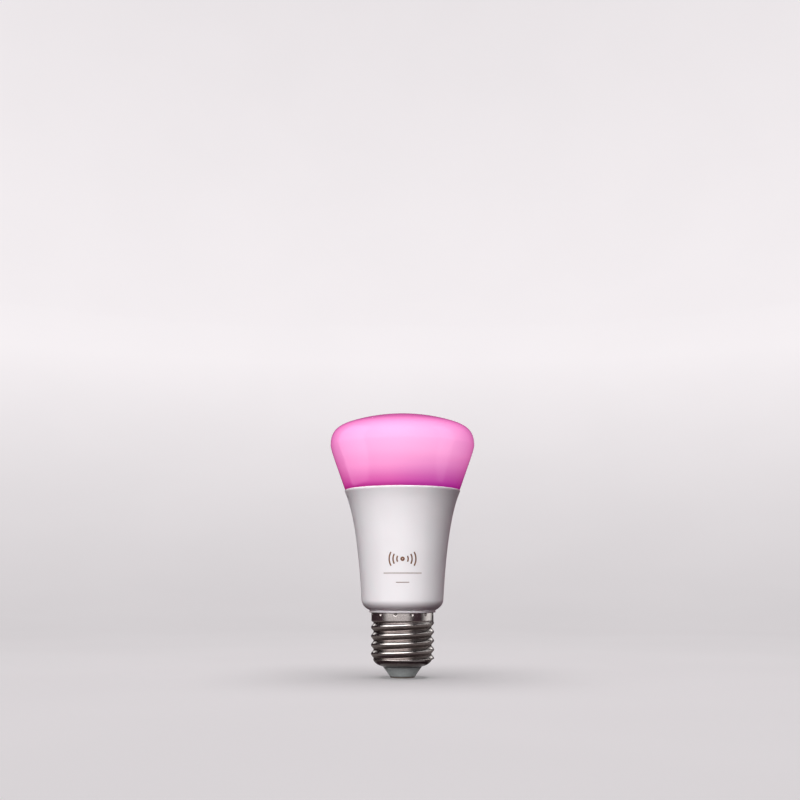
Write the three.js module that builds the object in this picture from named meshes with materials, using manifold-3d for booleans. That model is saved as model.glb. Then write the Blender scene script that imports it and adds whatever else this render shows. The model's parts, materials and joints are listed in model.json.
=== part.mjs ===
// Smart light bulb with an E27 screw cap, as an assembly of separate pieces.
// Units are millimetres. The origin is the middle of the centre contact's end face, +Z runs along the axis
// towards the dome, and -Y is the front.
import * as THREE from "three";
import { mergeVertices } from "three/addons/utils/BufferGeometryUtils.js";
import Module from "manifold-3d";

const wasm = await Module();
wasm.setup();

// ---------------------------------------------------------------- driving dimensions

// Overall
const BULB_LENGTH = 110; // contact face to the top of the dome
const DOME_DIAMETER = 61.6; // at its widest
const DOME_HEIGHT = 32.3; // housing rim to the top of the dome
const RIM_DIAMETER = 49.2; // housing, where the dome meets it
const SHOULDER_DIAMETER = 34.3; // housing, at the bottom of its flare
const CAP_LENGTH = 26.55; // contact face to the housing's seat lip

// Screw cap, E27
const THREAD_DIAMETER = 26.3; // over the crests
const THREAD_DEPTH = 1.1;
const THREAD_PITCH = 3.629; // seven turns to the inch
const THREAD_CREST_Z = 15.05; // one crest's height on the +X side
const THREAD_LOW_Z = 6.9; // the thread fades into the shoulder below this
const THREAD_FADE = 0.9;
const COLLAR_HEIGHT = 3.3; // plain band under the seat lip
const COLLAR_INSET = 0.18; // collar radius under crest radius
const SHELL_WALL = 0.35;
const MOUTH_DIAMETER = 15.6; // hole in the shell's bottom, for the insulator
const MOUTH_Z = 4.6;
const CRIMP_COUNT = 12;
const CRIMP_DEPTH = 0.4;
const CRIMP_HEIGHT = 1.1;
const CRIMP_DROP = 0.7; // seat lip to the middle of a crimp
const CRIMP_ANGLE = 17; // degrees from +X to the first crimp

// Cap insulator and centre contact
const CONTACT_DIAMETER = 10.4;
const CONTACT_THICKNESS = 0.6;
const CONTACT_EDGE = 0.4;
const STEM_DIAMETER = 2.8;
const RIVET_DIAMETER = 4.8;
const RIVET_THICKNESS = 0.5;
const INSULATOR_FOOT_DIAMETER = 11.3;
const INSULATOR_FOOT_ROUND = 0.4;
const INSULATOR_FLANGE_DIAMETER = 17.4;
const INSULATOR_FLANGE_THICKNESS = 0.8;
const INSULATOR_STEP = 0.2; // how far the visible cone stands out past the mouth

// Housing
const HOUSING_WALL = 1.6;
const NECK_WALL = 1.5;
const NECK_FOOT_Z = 8;
const LIP_OVERHANG = 0.85; // past the collar
const LIP_HEIGHT = 0.8;
const SHOULDER_HEIGHT = 4.4; // from the lip to the bottom of the flare
const SHOULDER_TUCK = 0.2; // the shoulder's corner, inside the bottom of the flare
const RIM_CHAMFER = 0.45;
const FLARE_LOW_SLOPE = 0.06; // radius gained per millimetre of height
const FLARE_HIGH_SLOPE = 0.45;
const LEAD_NOTCH = { width: 1.8, height: 2.2 }; // through the neck's foot
const LEAD_GROOVE = { depth: 1, length: 7 }; // up the neck's outside

// Dome
const DOME_WALL = 1.5;
const DOME_WIDEST_DROP = 13.1; // top of the dome to its widest ring
const DOME_TURN = 1.3; // the cone's sides aim this far under the widest ring
const CROWN_DROP = 3.8; // top of the dome to where its crown meets the rounded corner
const CROWN_SLOPE = 0.34; // height lost per millimetre of radius, there
const DOME_SEAM = 0.45; // chamfer round the dome's foot, which ends flush with the rim's outside
const SKIRT_INSET = 2.9; // the dome's locating skirt, inside the rim's outer edge
const SKIRT_DEPTH = 2.5;
const BOND_THICKNESS = 0.5;

// Heat sink, thermal pad and light board
const SINK_WALL = 1.2;
const SINK_DROP = 3; // rim to the heat sink's top face
const SINK_HOLE_DIAMETER = 17;
const PAD_THICKNESS = 0.3;
const LIGHT_BOARD_THICKNESS = 1.6;
const LED_SIZE = 2.8;
const LED_HEIGHT = 0.65;
const LED_BEVEL = 0.12;
const WHITE_LED_COUNT = 12;
const WHITE_RING_DIAMETER = 26.8;
const COLOUR_LED_COUNT = 6;
const COLOUR_RING_DIAMETER = 19.2;
const LIGHT_PARTS_R = 19.6; // light board radius that the parts on it need at full size
const SCREW_COUNT = 3;
const SCREW_MARGIN = 2.8; // board edge to the middle of a screw
const SCREW_DIAMETER = 2;
const SCREW_HEAD_DIAMETER = 3.9;
const SCREW_HEAD_HEIGHT = 1.2;
const SCREW_LENGTH = 5;
const SCREW_CROSS = { length: 2.3, width: 0.5, depth: 0.7 };
const BOSS_WALL = 1;
const BOSS_DEPTH = 3.2;

// Driver liner and driver board
const LINER_WALL = 0.8;
const LINER_RAIL = { thickness: 0.9, grip: 0.4 }; // grip is how far it reaches over the board's edge
const LID_DROP = 8.6; // rim to the top of the liner's lid
const LID_THICKNESS = 1;
const BOARD_THICKNESS = 1.2;
const BOARD_FRONT_Y = 2; // front face of the driver board
const BOARD_FOOT_Z = 9.5;
const BOARD_STEP_RISE = 3; // housing floor to the wide part of the board
const BOARD_TOP_GAP = 1; // board to lid

// Parts on the driver board
const PART_GAP = 1.5; // between one row and the next
const PARTS_REACH = 11.6; // how far from the axis they reach at full size
const BULK_CAP = { diameter: 10, length: 17, x: -5.6 };
const OUTPUT_CAP = { diameter: 6.3, length: 10, x: -5 };
const CAN_CRIMP = 0.25;
const CHOKE = { diameter: 8, length: 10, flange: 1.5, waist: 4, x: 5.8, winding: 7.4 };
const FILM_CAP = { x: [0.9, 9.9], depth: 5.5, height: 6 };
const RECTIFIER = { x: [-6.6, -0.6], depth: 2.5, z: [1, 5] };
const VARISTOR = { diameter: 9, thickness: 3.4, x: 4.8, z: 5 };
const POWER_CHIP = { x: [2.4, 7.4], depth: 1.6, height: 4 };
const LIGHT_CHIP = { x: [1.8, 6.8], depth: 1, height: 5 };
const CORE = { width: 14, height: 10, depth: 6, leg: 2, middle: 4, yoke: 1.8 };
const BOBBIN = { width: 12, thickness: 0.9, margin: 1 };
const WINDING_PROUD = 1.4; // transformer winding past its core, front and back
const FUSE = { diameter: 4, waist: 3.5, length: 10, lead: 0.7, leadLength: 1.6, rise: 4 };

// Pins, socket and radio board
const PIN_COUNT = 6;
const PIN_SIZE = 0.64;
const PIN_PITCH = 2;
const HEADER = { depth: 2.4, height: 2.5, margin: 1.2 };
const SOCKET = { margin: 1, front: 1.3, back: 6.3, height: 2.6 };
const BOARD_WINDOW = { margin: 2, front: 1.2, back: 4.2 }; // opening for the pins and the radio board
const RADIO_BOARD = { width: 12, thickness: 0.8, below: 5, above: 9.5 }; // below the lid, above the rim
const RADIO_HEADER = { width: 9, rise: 0.6, height: 2 };
const SHIELD = { width: 9.2, depth: 1.6, margin: 0.4 };
const CRYSTAL = { width: 3.2, depth: 0.7, height: 2.5, rise: 0.6 };
const ANTENNA = { line: 0.7, thickness: 0.15, pitch: 1.5, rungs: 5, margin: 0.9 };

// Leads
const LEAD_DIAMETER = 0.9;
const LIVE_LEAD_X = 3.6; // where each lead is soldered to the board
const NEUTRAL_LEAD_X = -4.6;
const LEAD_RISE = 2.5; // board's foot to a lead's end

// Clearances
const SLIP = 0.2; // radial gap between nested pieces
const BOND_GAP = 0.05; // adhesive to each face beside it
const TOUCH = 0.1; // under a round body that lies on a flat board

// Smoothness
const ROUND = 36; // sides of every piece turned about the bulb's axis
const SMALL_ROUND = 16;
const WIRE_SIDES = 8;
const THREAD_STEPS = 5; // rings per turn of thread
const FLARE_STEPS = 8;
const CORNER_STEPS = 6;
const CROWN_STEPS = 4;

// ---------------------------------------------------------------- places worked out from them

const RIM_Z = BULB_LENGTH - DOME_HEIGHT;
const RIM_R = RIM_DIAMETER / 2;
const SHOULDER_R = SHOULDER_DIAMETER / 2;
const CREST_R = THREAD_DIAMETER / 2;
const ROOT_R = CREST_R - THREAD_DEPTH;
const COLLAR_R = CREST_R - COLLAR_INSET;
const COLLAR_LOW_Z = CAP_LENGTH - COLLAR_HEIGHT;
const CRIMP_Z = CAP_LENGTH - CRIMP_DROP;
const LIP_R = COLLAR_R + LIP_OVERHANG;
const NECK_R = ROOT_R - SHELL_WALL - 2 * SLIP;
const NECK_INNER_R = NECK_R - NECK_WALL;
const NECK_LAND_R = COLLAR_R - SHELL_WALL - SLIP;
const NECK_GROOVE_R = NECK_LAND_R - CRIMP_DEPTH;
const FLARE_LOW_Z = CAP_LENGTH + LIP_HEIGHT + SHOULDER_HEIGHT;
const FLARE_HIGH_Z = RIM_Z - RIM_CHAMFER;
const FLOOR_Z = CAP_LENGTH + LIP_HEIGHT + HOUSING_WALL;
const SKIRT_R = RIM_R - SKIRT_INSET;
const SKIRT_INNER_R = SKIRT_R - DOME_WALL;
const RIM_INNER_R = SKIRT_R + BOND_THICKNESS + 2 * BOND_GAP;
const INSULATOR_TOP_Z = MOUTH_Z + SHELL_WALL + 2 * SLIP + INSULATOR_FLANGE_THICKNESS;
const RIVET_TOP_Z = INSULATOR_TOP_Z + RIVET_THICKNESS;

const SINK_TOP_Z = RIM_Z - SINK_DROP;
const SINK_PLATE_Z = SINK_TOP_Z - SINK_WALL;
const LIGHT_BOARD_Z = SINK_TOP_Z + PAD_THICKNESS;
const LIGHT_FACE_Z = LIGHT_BOARD_Z + LIGHT_BOARD_THICKNESS;
const LIGHT_BOARD_R = SKIRT_INNER_R - 2 * SLIP;
const SCREW_RING_R = LIGHT_BOARD_R - SCREW_MARGIN;
const CROWDING = Math.min(1, LIGHT_BOARD_R / LIGHT_PARTS_R); // a narrower board takes narrower parts
const PIN_STEP = PIN_PITCH * CROWDING;
const PINS_HALF = ((PIN_COUNT - 1) * PIN_STEP) / 2;

const LINER_R = SHOULDER_R - HOUSING_WALL - SLIP - SINK_WALL - SLIP;
const LINER_INNER_R = LINER_R - LINER_WALL;
const LINER_FOOT_R = Math.min(LIP_R - HOUSING_WALL - SLIP, LINER_R);
const LID_TOP_Z = RIM_Z - LID_DROP;
const LID_Z = LID_TOP_Z - LID_THICKNESS;
const BOARD_BACK_Y = BOARD_FRONT_Y + BOARD_THICKNESS;
const BOARD_TOP_Z = LID_Z - BOARD_TOP_GAP;
const BOARD_STEP_Z = FLOOR_Z + BOARD_STEP_RISE;
const RADIO_LOW_Z = LID_Z - RADIO_BOARD.below;
const RADIO_HIGH_Z = RIM_Z + RADIO_BOARD.above;

// ---------------------------------------------------------------- materials

const finish = (color, roughness, metalness = 0) =>
  new THREE.MeshStandardMaterial({ color, roughness, metalness });

const DOME_FINISH = () => finish(0xf6b4e4, 0.3);
const HOUSING_FINISH = () => finish(0xe6e2e3, 0.45);
const NICKEL = () => finish(0xa59c98, 0.28, 1);
const INSULATOR_FINISH = () => finish(0x7c8080, 0.5);
const SILICONE = () => finish(0xe9e6e0, 0.7);
const ALUMINIUM = () => finish(0xb8babd, 0.4, 1);
const PAD_FINISH = () => finish(0x8d97a3, 0.8);
const WHITE_BOARD = () => finish(0xf2f2ee, 0.5);
const GREEN_BOARD = () => finish(0x1f6b3b, 0.5);
const WARM_LED = () => finish(0xe9b44c, 0.35);
const COOL_LED = () => finish(0xe8de7a, 0.35);
const RED_LED = () => finish(0xc7332c, 0.35);
const GREEN_LED = () => finish(0x3fa34d, 0.35);
const BLUE_LED = () => finish(0x2f57c4, 0.35);
const STEEL = () => finish(0x8f9296, 0.35, 1);
const LINER_FINISH = () => finish(0xd9d7cf, 0.6);
const BLACK_PLASTIC = () => finish(0x1c1c1e, 0.5);
const CREAM_PLASTIC = () => finish(0xefeae0, 0.5);
const SHIELD_FINISH = () => finish(0xc3c6c8, 0.35, 1);
const COPPER = () => finish(0xb87333, 0.4, 1);
const FERRITE = () => finish(0x34343a, 0.6);
const YELLOW_TAPE = () => finish(0xe0b62f, 0.5);
const CAN_SLEEVE = () => finish(0x23304f, 0.4);
const FILM_CASE = () => finish(0xb5462a, 0.45);
const VARISTOR_COAT = () => finish(0x2c6fb3, 0.4);
const FUSE_COAT = () => finish(0x6f8f6a, 0.5);
const RED_WIRE = () => finish(0xa32320, 0.5);
const BLUE_WIRE = () => finish(0x2a4f9e, 0.5);

// ---------------------------------------------------------------- shape helpers

const bulb = new THREE.Group();

function add(name, geometry, material) {
  const mesh = new THREE.Mesh(geometry, material);
  mesh.name = name;
  bulb.add(mesh);
}

const at = (x, y) => new THREE.Vector2(x, y);

// A profile of (radius, height) points turned about Z, from the axis to the axis. It runs up on the outside.
function turned(points, sides = ROUND) {
  return new THREE.LatheGeometry(points, sides).rotateX(Math.PI / 2);
}

// The same for a piece with a hole along its axis: the profile closes on itself, running down on the inside.
const turnedRing = (points, sides = ROUND) => turned([...points, points[0]], sides);

const disc = (radius, low, high, sides = ROUND) =>
  turned([at(0, low), at(radius, low), at(radius, high), at(0, high)], sides);

const ring = (inner, outer, low, high, sides = ROUND) =>
  turnedRing([at(inner, low), at(outer, low), at(outer, high), at(inner, high)], sides);

// A box between two corners.
function block([x0, x1], [y0, y1], [z0, z1]) {
  const box = new THREE.BoxGeometry(x1 - x0, y1 - y0, z1 - z0);
  return box.translate((x0 + x1) / 2, (y0 + y1) / 2, (z0 + z1) / 2);
}

const both = (half) => [-half, half];

// A flat outline in X and Z, standing up between two Y values.
function upright(outline, [y0, y1]) {
  const slab = new THREE.ExtrudeGeometry(new THREE.Shape(outline), { depth: y1 - y0, bevelEnabled: false });
  return slab.rotateX(Math.PI / 2).translate(0, y1, 0);
}

// A round wire along a smooth curve through points.
function wire(points, steps) {
  return new THREE.ExtrudeGeometry(new THREE.Shape().absarc(0, 0, LEAD_DIAMETER / 2, 0, 2 * Math.PI), {
    curveSegments: WIRE_SIDES / 2,
    steps,
    extrudePath: new THREE.CatmullRomCurve3(points.map((p) => new THREE.Vector3(...p))),
  });
}

function solid(geometry) {
  const bare = geometry.index ? geometry.toNonIndexed() : geometry.clone();
  bare.deleteAttribute("normal");
  bare.deleteAttribute("uv");
  const merged = mergeVertices(bare, 1e-3);
  return new wasm.Manifold(
    new wasm.Mesh({
      numProp: 3,
      vertProperties: merged.attributes.position.array,
      triVerts: new Uint32Array(merged.index.array),
    }),
  );
}

function meshed(positions, triangles) {
  const geometry = new THREE.BufferGeometry();
  geometry.setAttribute("position", new THREE.BufferAttribute(new Float32Array(positions), 3));
  geometry.setIndex(new THREE.BufferAttribute(new Uint32Array(triangles), 1));
  return geometry;
}

function geometryOf(body) {
  const mesh = body.getMesh();
  return meshed(mesh.vertProperties, mesh.triVerts);
}

const cut = (whole, ...tools) =>
  geometryOf(tools.reduce((left, tool) => left.subtract(solid(tool)), solid(whole)));

const join = (first, ...others) =>
  geometryOf(others.reduce((sum, other) => sum.add(solid(other)), solid(first)));

// Evenly spaced angles round the axis.
const angles = (count, first = 0) =>
  Array.from({ length: count }, (_, i) => first + (2 * Math.PI * i) / count);

// A geometry moved out to a radius and turned to an angle round the axis.
const placed = (geometry, radius, angle) => geometry.translate(radius, 0, 0).rotateZ(angle);

// ---------------------------------------------------------------- outlines that several pieces share

// The housing's shoulder and flare, moved in by an offset. Each piece nested inside uses a larger offset.
function shoulder(offset) {
  const low = at(LIP_R - offset, CAP_LENGTH + LIP_HEIGHT + offset);
  const high = at(SHOULDER_R - offset, FLARE_LOW_Z);
  const corner = at(high.x - SHOULDER_TUCK, low.y + 0.36 * (high.y - low.y));
  return new THREE.QuadraticBezierCurve(low, corner, high).getPoints(5).slice(0, -1);
}

function flare(offset) {
  const lowR = SHOULDER_R - offset;
  const highR = RIM_R - offset;
  const lowHandle = 0.42 * (FLARE_HIGH_Z - FLARE_LOW_Z);
  const highHandle = 0.2 * (FLARE_HIGH_Z - FLARE_LOW_Z);
  return new THREE.CubicBezierCurve(
    at(lowR, FLARE_LOW_Z),
    at(lowR + FLARE_LOW_SLOPE * lowHandle, FLARE_LOW_Z + lowHandle),
    at(highR - FLARE_HIGH_SLOPE * highHandle, FLARE_HIGH_Z - highHandle),
    at(highR, FLARE_HIGH_Z),
  ).getPoints(FLARE_STEPS);
}

// The part of that flare below a height, ending exactly on it.
function flareUpTo(offset, topZ) {
  const points = flare(offset);
  const next = points.findIndex((p) => p.y >= topZ);
  const [a, b] = [points[next - 1], points[next]];
  const end = a.clone().lerp(b, (topZ - a.y) / (b.y - a.y));
  return [...points.slice(0, next), end];
}

// ---------------------------------------------------------------- screw cap

// The shell's outer radius in its threaded stretch, at a height and an angle. The thread is right-handed.
function threadRadius(z, angle) {
  const turns = (z - THREAD_CREST_Z) / THREAD_PITCH - angle / (2 * Math.PI);
  const wave = ROOT_R + (THREAD_DEPTH / 2) * (1 + Math.cos(2 * Math.PI * turns));
  const collar = THREE.MathUtils.smoothstep(z, COLLAR_LOW_Z - THREAD_FADE, COLLAR_LOW_Z);
  const foot = 1 - THREE.MathUtils.smoothstep(z, THREAD_LOW_Z, THREAD_LOW_Z + THREAD_FADE);
  return wave + collar * (COLLAR_R - wave) + foot * (ROOT_R - wave);
}

// The rounded bottom of the shell, from its mouth out to the thread, moved in by an offset.
function shellFoot(offset, steps) {
  const mouth = MOUTH_DIAMETER / 2;
  return new THREE.QuadraticBezierCurve(
    at(mouth, MOUTH_Z + offset),
    at(mouth + 0.7 * (ROOT_R - mouth - offset), MOUTH_Z + SHELL_WALL + offset),
    at(ROOT_R - offset, THREAD_LOW_Z),
  ).getPoints(steps);
}

// The closed section of the shell at one angle: up the outside, down the inside.
function shellSection(angle, crimped) {
  const height = COLLAR_LOW_Z - THREAD_LOW_Z;
  const count = Math.ceil((height / THREAD_PITCH) * THREAD_STEPS);
  const heights = Array.from({ length: count }, (_, i) => THREAD_LOW_Z + (height * (i + 1)) / count);
  const wall = [
    ...heights.map((z) => at(threadRadius(z, angle), z)),
    at(COLLAR_R, CRIMP_Z - CRIMP_HEIGHT / 2),
    at(COLLAR_R - (crimped ? CRIMP_DEPTH : 0), CRIMP_Z),
    at(COLLAR_R, CRIMP_Z + CRIMP_HEIGHT / 2),
    at(COLLAR_R, CAP_LENGTH),
  ];
  const inside = wall.map((p) => at(p.x - SHELL_WALL, p.y)).reverse();
  return [...shellFoot(0, 5), ...wall, ...inside, ...shellFoot(SHELL_WALL, 4).reverse()];
}

function capShell() {
  const around = angles(ROUND, THREE.MathUtils.degToRad(CRIMP_ANGLE));
  const sections = around.map((angle, i) => shellSection(angle, i % (ROUND / CRIMP_COUNT) === 0));
  const rows = sections[0].length;
  const positions = sections.flatMap((points, i) =>
    points.flatMap((p) => [p.x * Math.cos(around[i]), p.x * Math.sin(around[i]), p.y]),
  );
  const triangles = [];
  for (let i = 0; i < ROUND; i += 1) {
    const here = i * rows;
    const next = ((i + 1) % ROUND) * rows;
    for (let j = 0; j < rows; j += 1) {
      const up = (j + 1) % rows;
      triangles.push(here + j, next + j, next + up, here + j, next + up, here + up);
    }
  }
  return meshed(positions, triangles);
}

function capInsulator() {
  const bore = STEM_DIAMETER / 2 + SLIP;
  const foot = INSULATOR_FOOT_DIAMETER / 2;
  const plug = MOUTH_DIAMETER / 2 - SLIP;
  const flange = INSULATOR_FLANGE_DIAMETER / 2;
  const flangeZ = INSULATOR_TOP_Z - INSULATOR_FLANGE_THICKNESS;
  return turnedRing([
    at(bore, CONTACT_THICKNESS),
    at(foot - INSULATOR_FOOT_ROUND, CONTACT_THICKNESS),
    at(foot - 0.3 * INSULATOR_FOOT_ROUND, CONTACT_THICKNESS + 0.3 * INSULATOR_FOOT_ROUND),
    at(foot, CONTACT_THICKNESS + INSULATOR_FOOT_ROUND),
    at(MOUTH_DIAMETER / 2 + INSULATOR_STEP, MOUTH_Z),
    at(plug, MOUTH_Z),
    at(plug, flangeZ),
    at(flange, flangeZ + SHELL_WALL),
    at(flange, INSULATOR_TOP_Z),
    at(bore, INSULATOR_TOP_Z),
  ]);
}

// A disc with a stem riveted over on top of the insulator.
function centreContact() {
  const edge = CONTACT_DIAMETER / 2;
  const stem = STEM_DIAMETER / 2;
  const rivet = RIVET_DIAMETER / 2;
  return turned([
    at(0, 0),
    at(edge - CONTACT_EDGE, 0),
    at(edge, CONTACT_EDGE / 2),
    at(edge, CONTACT_THICKNESS),
    at(stem, CONTACT_THICKNESS),
    at(stem, INSULATOR_TOP_Z),
    at(rivet, INSULATOR_TOP_Z),
    at(rivet, RIVET_TOP_Z),
    at(0, RIVET_TOP_Z),
  ]);
}

add("cap_shell", capShell(), NICKEL());
add("cap_insulator", capInsulator(), INSULATOR_FINISH());
add("centre_contact", centreContact(), NICKEL());

// ---------------------------------------------------------------- housing

// The neck goes down inside the cap, with a land that centres the collar and a groove that takes its crimps.
function housing() {
  const shell = turnedRing([
    at(NECK_INNER_R, NECK_FOOT_Z),
    at(NECK_R, NECK_FOOT_Z),
    at(NECK_R, COLLAR_LOW_Z + SLIP),
    at(NECK_LAND_R, COLLAR_LOW_Z + 2 * SLIP),
    at(NECK_LAND_R, CRIMP_Z - CRIMP_HEIGHT / 2),
    at(NECK_GROOVE_R, CRIMP_Z - CRIMP_HEIGHT / 2),
    at(NECK_GROOVE_R, CAP_LENGTH),
    at(COLLAR_R + TOUCH, CAP_LENGTH),
    at(LIP_R, CAP_LENGTH),
    ...shoulder(0),
    ...flare(0),
    at(RIM_R - RIM_CHAMFER, RIM_Z),
    at(RIM_INNER_R, RIM_Z),
    at(RIM_INNER_R, SINK_PLATE_Z),
    ...flareUpTo(HOUSING_WALL, SINK_PLATE_Z).reverse(),
    ...shoulder(HOUSING_WALL).reverse(),
    at(NECK_INNER_R, FLOOR_Z),
  ]);
  const across = both(LEAD_NOTCH.width / 2);
  const outside = -NECK_R - SLIP;
  const notch = block([outside, SLIP - NECK_INNER_R], across, [0, NECK_FOOT_Z + LEAD_NOTCH.height]);
  const groove = block([outside, LEAD_GROOVE.depth - NECK_R], across, [0, NECK_FOOT_Z + LEAD_GROOVE.length]);
  return cut(shell, notch, groove);
}

add("housing", housing(), HOUSING_FINISH());

// ---------------------------------------------------------------- dome and its adhesive

// The dome's outside from its foot to the top, moved in by an offset.
function domeOutline(offset) {
  const foot = at(RIM_R - offset, RIM_Z + DOME_SEAM + offset);
  const widest = at(DOME_DIAMETER / 2 - offset, BULB_LENGTH - DOME_WIDEST_DROP);
  const top = at(0, BULB_LENGTH - offset);
  const aim = at(widest.x, widest.y - DOME_TURN);
  const coneTop = foot.clone().lerp(aim, 0.7);
  const turn = new THREE.QuadraticBezierCurve(coneTop, aim, widest).getPoints(3);
  const meet = at(0.766 * widest.x, top.y - CROWN_DROP);
  const reach = 0.16 * widest.x;
  const corner = new THREE.CubicBezierCurve(
    widest,
    at(widest.x, widest.y + 0.41 * DOME_WIDEST_DROP),
    at(meet.x + reach, meet.y - CROWN_SLOPE * reach),
    meet,
  ).getPoints(CORNER_STEPS);
  const crown = new THREE.QuadraticBezierCurve(
    meet,
    at(meet.x - CROWN_DROP / CROWN_SLOPE, top.y),
    top,
  ).getPoints(CROWN_STEPS);
  return [foot, ...turn, ...corner.slice(1), ...crown.slice(1)];
}

// A skirt at its foot goes down inside the housing's rim.
function diffuserDome() {
  return turned([
    ...domeOutline(DOME_WALL).reverse(),
    at(SKIRT_INNER_R, RIM_Z + DOME_WALL),
    at(SKIRT_INNER_R, RIM_Z - SKIRT_DEPTH),
    at(SKIRT_R, RIM_Z - SKIRT_DEPTH),
    at(SKIRT_R, RIM_Z),
    at(RIM_R - DOME_SEAM, RIM_Z),
    ...domeOutline(0),
  ]);
}

function domeBond() {
  const inner = SKIRT_R + BOND_GAP;
  return ring(inner, inner + BOND_THICKNESS, RIM_Z - SKIRT_DEPTH + BOND_GAP, RIM_Z - BOND_GAP);
}

add("diffuser_dome", diffuserDome(), DOME_FINISH());
add("dome_bond", domeBond(), SILICONE());

// ---------------------------------------------------------------- heat sink, thermal pad, light board

const SCREW_ANGLES = angles(SCREW_COUNT, Math.PI / WHITE_LED_COUNT);

// One upright cylinder at each board screw.
const atScrews = (radius, low, high) =>
  SCREW_ANGLES.map((angle) => placed(disc(radius, low, high, SMALL_ROUND), SCREW_RING_R, angle));

// A cup that follows the housing's inside. Its top plate sits on the ledge under the housing's rim.
function heatSink() {
  const outer = HOUSING_WALL + SLIP;
  const hole = SINK_HOLE_DIAMETER / 2;
  const plate = RIM_INNER_R - SLIP;
  const cup = turnedRing([
    ...flareUpTo(outer, SINK_PLATE_Z),
    at(plate, SINK_PLATE_Z),
    at(plate, SINK_TOP_Z),
    at(hole, SINK_TOP_Z),
    at(hole, SINK_PLATE_Z),
    ...flareUpTo(outer + SINK_WALL, SINK_PLATE_Z).reverse(),
  ]);
  const bore = SCREW_DIAMETER / 2 + TOUCH;
  const bossZ = SINK_PLATE_Z - BOSS_DEPTH;
  const bossed = join(cup, ...atScrews(bore + BOSS_WALL, bossZ, SINK_PLATE_Z + SINK_WALL / 2));
  return cut(bossed, ...atScrews(bore, bossZ - 1, SINK_TOP_Z + 1));
}

function thermalPad() {
  const pad = ring(SINK_HOLE_DIAMETER / 2, LIGHT_BOARD_R - SLIP, SINK_TOP_Z, LIGHT_BOARD_Z);
  return cut(pad, ...atScrews(SCREW_DIAMETER / 2 + 2 * SLIP, SINK_TOP_Z - 1, LIGHT_BOARD_Z + 1));
}

// A round plate with the window that the pins and the radio board come up through.
function windowedPlate(radius, low, high) {
  const across = both(PINS_HALF + BOARD_WINDOW.margin);
  const window = block(across, [-BOARD_WINDOW.front, BOARD_WINDOW.back], [low - 1, high + 1]);
  return cut(disc(radius, low, high), window);
}

function ledBoard() {
  const plate = windowedPlate(LIGHT_BOARD_R, LIGHT_BOARD_Z, LIGHT_FACE_Z);
  return cut(plate, ...atScrews(SCREW_DIAMETER / 2 + SLIP, LIGHT_BOARD_Z - 1, LIGHT_FACE_Z + 1));
}

add("heat_sink", heatSink(), ALUMINIUM());
add("thermal_pad", thermalPad(), PAD_FINISH());
add("led_board", ledBoard(), WHITE_BOARD());

// A screw with a cross in its head.
function boardScrew() {
  const shank = SCREW_DIAMETER / 2;
  const head = SCREW_HEAD_DIAMETER / 2;
  const headTop = LIGHT_FACE_Z + SCREW_HEAD_HEIGHT;
  const tip = LIGHT_FACE_Z - SCREW_LENGTH;
  const profile = [
    at(0, tip),
    at(0.6 * shank, tip),
    at(shank, tip + shank),
    at(shank, LIGHT_FACE_Z),
    at(head, LIGHT_FACE_Z),
    at(head, LIGHT_FACE_Z + SCREW_HEAD_HEIGHT / 2),
    at(0.7 * head, headTop),
    at(0, headTop),
  ];
  const long = both(SCREW_CROSS.length / 2);
  const short = both(SCREW_CROSS.width / 2);
  const deep = [headTop - SCREW_CROSS.depth, headTop + 1];
  return cut(turned(profile, SMALL_ROUND), block(long, short, deep), block(short, long, deep));
}

SCREW_ANGLES.forEach((angle, i) => {
  add(`board_screw_${i + 1}`, placed(boardScrew(), SCREW_RING_R, angle), STEEL());
});

// A light package on the light board, with bevelled edges.
function addLed(name, ringDiameter, angle, material) {
  const half = (LED_SIZE * CROWDING) / 2 - LED_BEVEL;
  const outline = [at(-half, -half), at(half, -half), at(half, half), at(-half, half)];
  const chip = new THREE.ExtrudeGeometry(new THREE.Shape(outline), {
    depth: LED_HEIGHT - 2 * LED_BEVEL,
    bevelSize: LED_BEVEL,
    bevelThickness: LED_BEVEL,
    bevelSegments: 1,
  }).translate(0, 0, LIGHT_FACE_Z + LED_BEVEL);
  add(name, placed(chip, (ringDiameter * CROWDING) / 2, angle), material);
}

// White packages in the outer ring, warm and cool by turns.
angles(WHITE_LED_COUNT).forEach((angle, i) => {
  const number = Math.floor(i / 2) + 1;
  if (i % 2 === 0) {
    addLed(`warm_white_led_${number}`, WHITE_RING_DIAMETER, angle, WARM_LED());
  } else {
    addLed(`cool_white_led_${number}`, WHITE_RING_DIAMETER, angle, COOL_LED());
  }
});

// Red, green and blue packages by turns in the inner ring.
const COLOURS = [
  ["red", RED_LED],
  ["green", GREEN_LED],
  ["blue", BLUE_LED],
];
angles(COLOUR_LED_COUNT, Math.PI / COLOUR_LED_COUNT).forEach((angle, i) => {
  const [colour, material] = COLOURS[i % COLOURS.length];
  addLed(`${colour}_led_${Math.floor(i / COLOURS.length) + 1}`, COLOUR_RING_DIAMETER, angle, material());
});

// ---------------------------------------------------------------- driver liner and its lid

// Half the width of a board that fits inside a round wall.
const halfWidthIn = (radius) => Math.sqrt(radius ** 2 - BOARD_BACK_Y ** 2) - 2 * SLIP;

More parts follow.
